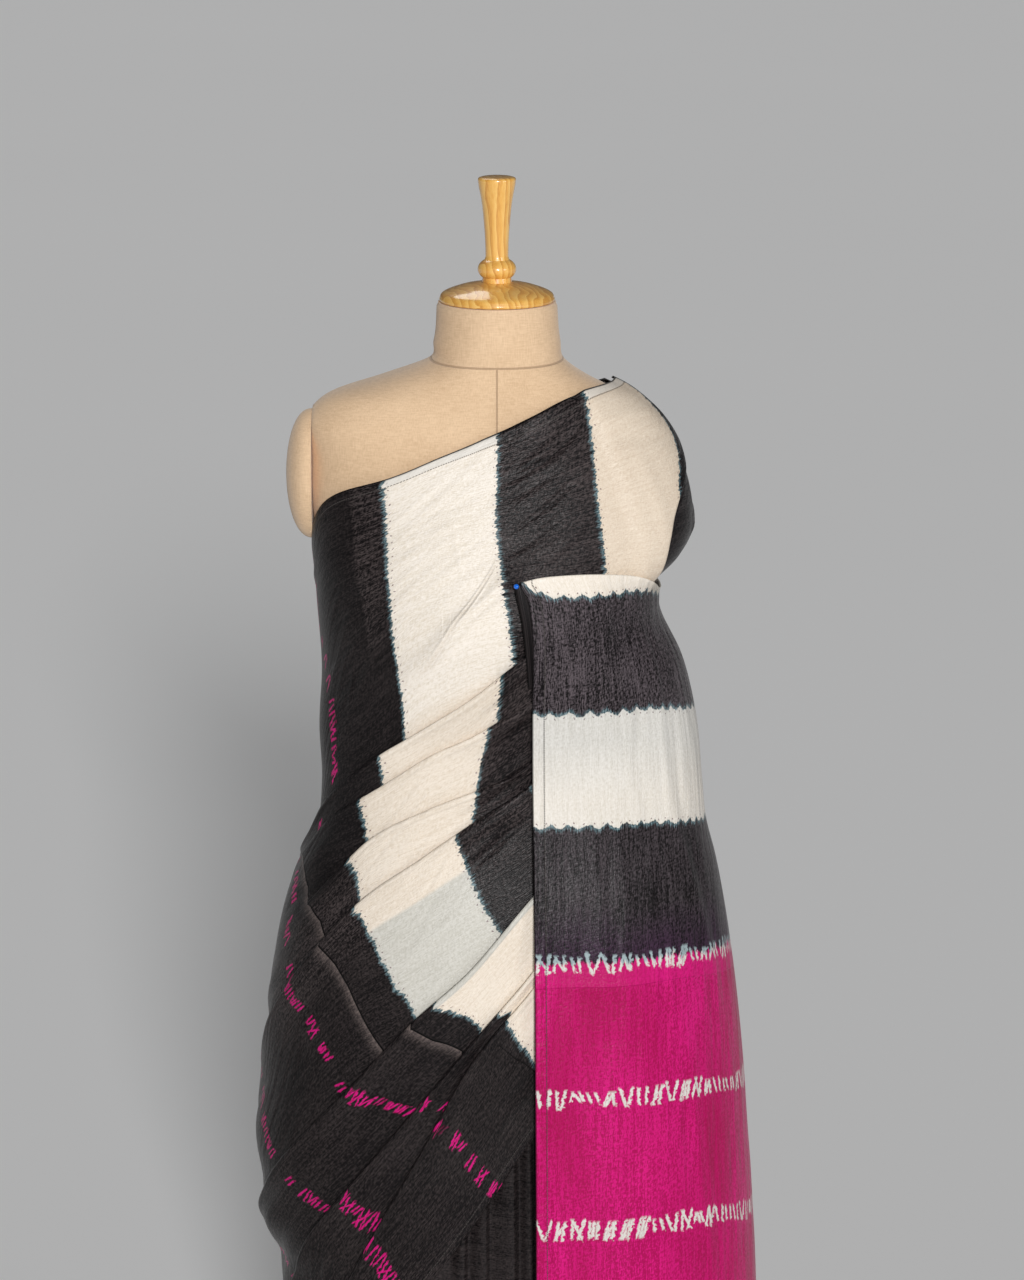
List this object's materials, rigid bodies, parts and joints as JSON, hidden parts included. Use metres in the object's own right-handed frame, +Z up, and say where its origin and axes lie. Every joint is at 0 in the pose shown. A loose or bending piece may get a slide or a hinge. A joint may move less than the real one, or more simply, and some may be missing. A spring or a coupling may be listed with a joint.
{
  "type": "sari on dress form",
  "caption": "Striped tie-dyed silk sari wound and folded on a limbless linen dress form, pinned in front, with a turned wooden neck finial and a round stand.",
  "frame": {"origin": "centre of the stand base's underside, on the floor", "axes": "+Z up along the form, -Y towards the front of the form, +X towards the form's own left shoulder, which carries the sari"},
  "size_m": [0.5295, 0.4234, 1.6188],
  "materials": {
    "form_linen": "matt beige linen cover",
    "turned_wood": "varnished honey wood",
    "stand_steel": "satin black",
    "silk_wrap": "slub silk, charcoal and ivory stripes with magenta tied rows",
    "silk_pallu": "slub silk, charcoal, ivory and magenta stripes with ivory tied rows",
    "silk_skirt": "slub silk, charcoal with magenta tied rows",
    "pin_enamel": "glossy blue"
  },
  "bodies": {
    "root": {"form_torso": "form_linen", "form_cap_right": "form_linen", "form_cap_left": "form_linen", "form_finial": "turned_wood", "stand_pole": "stand_steel", "stand_base": "stand_steel", "sari_chest": "silk_wrap", "sari_waist_folds": "silk_wrap", "sari_hip_folds": "silk_wrap", "sari_back_wrap": "silk_wrap", "sari_shoulder_fall": "silk_wrap", "sari_pallu": "silk_pallu", "sari_pallu_return": "silk_wrap", "sari_skirt": "silk_skirt", "sari_front_pleats": "silk_skirt", "pin_head": "pin_enamel"}
  },
  "joints": []
}
